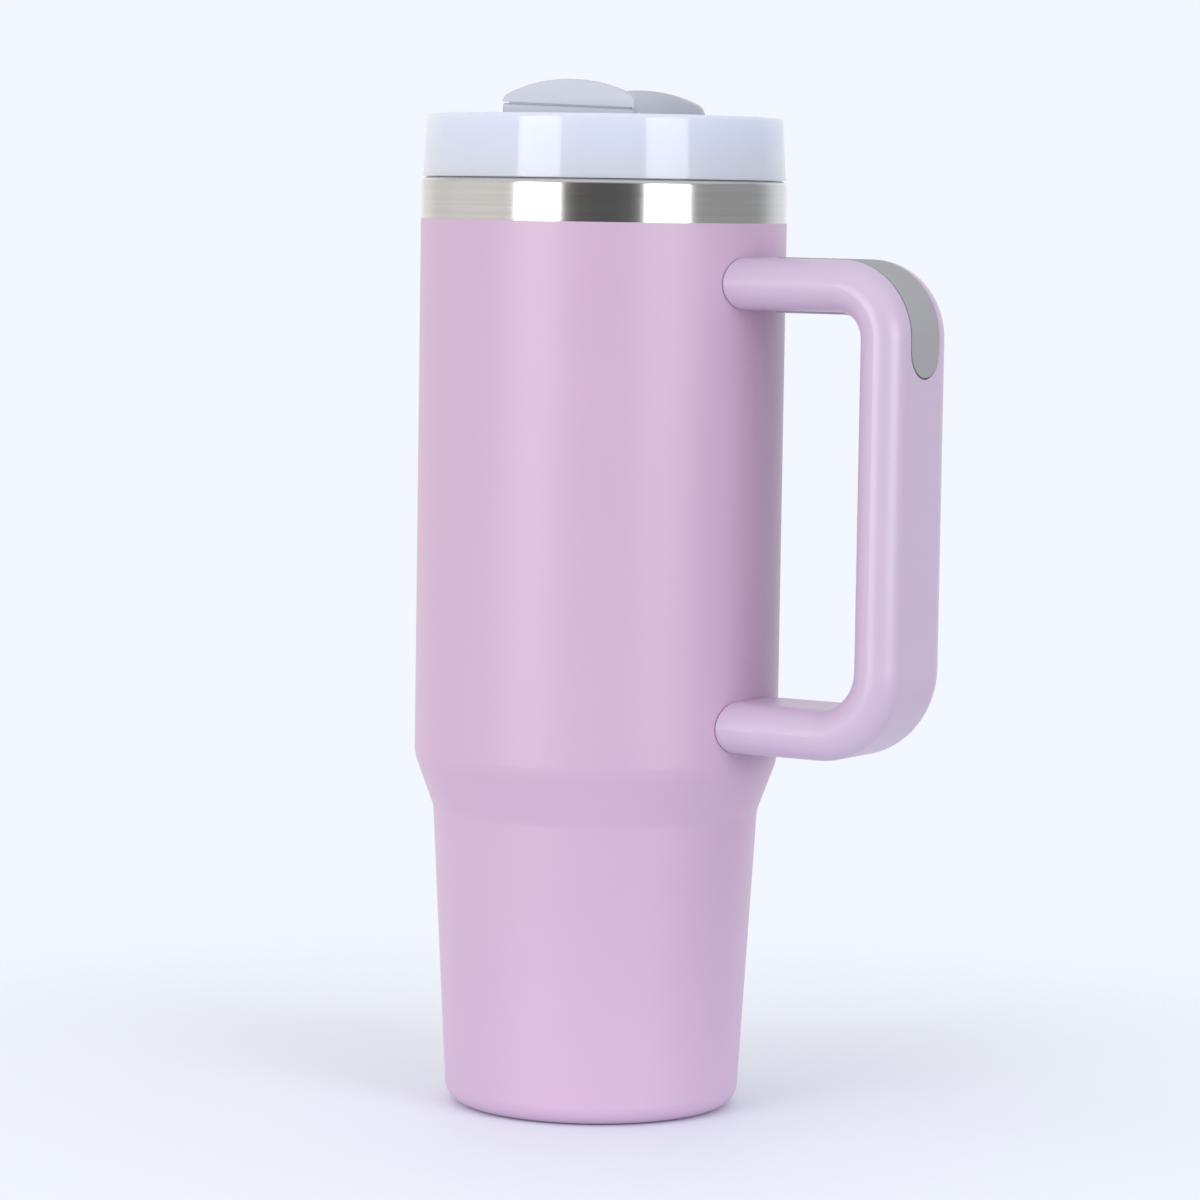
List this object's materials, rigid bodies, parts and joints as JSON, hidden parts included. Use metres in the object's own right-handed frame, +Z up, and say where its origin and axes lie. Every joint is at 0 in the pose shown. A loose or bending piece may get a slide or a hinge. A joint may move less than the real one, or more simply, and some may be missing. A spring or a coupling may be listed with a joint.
{
  "type": "insulated tumbler with lid",
  "caption": "Double-walled steel tumbler with a stepped, tapered foot, a bare steel rim band, a moulded side handle with soft grip strips, and a push-in lid with a turning dial.",
  "frame": {"origin": "on the vessel's axis, in the plane of the ring that it stands on", "axes": "+Z up along the vessel's axis, +X from the axis towards the handle's grip, +Y across the handle"},
  "size_m": [0.148, 0.098, 0.2754],
  "materials": {
    "powder_coated_steel": "fine satin powder coat with a bare brushed band at the rim",
    "brushed_steel": "brushed around the axis",
    "seal_bead": "smooth fused bead",
    "getter": "pressed powder",
    "copper_foil": "smooth foil",
    "handle_plastic": "satin moulded plastic",
    "grip_rubber": "soft matt rubber",
    "screw_steel": "machined",
    "gasket_silicone": "soft translucent silicone",
    "lid_plastic": "glossy milky translucent plastic",
    "dial_plastic": "satin moulded plastic"
  },
  "bodies": {
    "vessel": {"outer_shell": "powder_coated_steel", "inner_liner": "brushed_steel", "base_plate": "brushed_steel", "vacuum_seal": "seal_bead", "getter_clip": "brushed_steel", "getter_pill": "getter", "copper_shield": "copper_foil", "upper_bracket": "brushed_steel", "lower_bracket": "brushed_steel", "handle_outer_half": "handle_plastic", "handle_inner_half": "handle_plastic", "top_grip_strip": "grip_rubber", "under_grip_strip": "grip_rubber", "bracket_screws": "screw_steel", "screw_hole_plug": "handle_plastic"},
    "gasket": {"lid_gasket": "gasket_silicone"},
    "lid": {"lid_body": "lid_plastic"},
    "dial": {"dial_cover": "dial_plastic", "fin_cap": "dial_plastic", "straw_grommet": "gasket_silicone", "port_seal": "gasket_silicone", "pivot_oring": "gasket_silicone", "pivot_washer": "screw_steel", "pivot_screw": "screw_steel"}
  },
  "joints": [
    {"name": "lid_lift", "type": "slide", "parent": "vessel", "child": "gasket", "axis": [0, 0, 1], "range_m": [0, 0.06]},
    {"name": "lid_turn", "type": "hinge", "parent": "gasket", "child": "lid", "pos_m": [0, 0, 0.25], "axis": [0, 0, 1], "continuous": true},
    {"name": "dial_turn", "type": "hinge", "parent": "lid", "child": "dial", "pos_m": [0, 0, 0.256], "axis": [0, 0, 1], "range_deg": [-90, 90]}
  ]
}
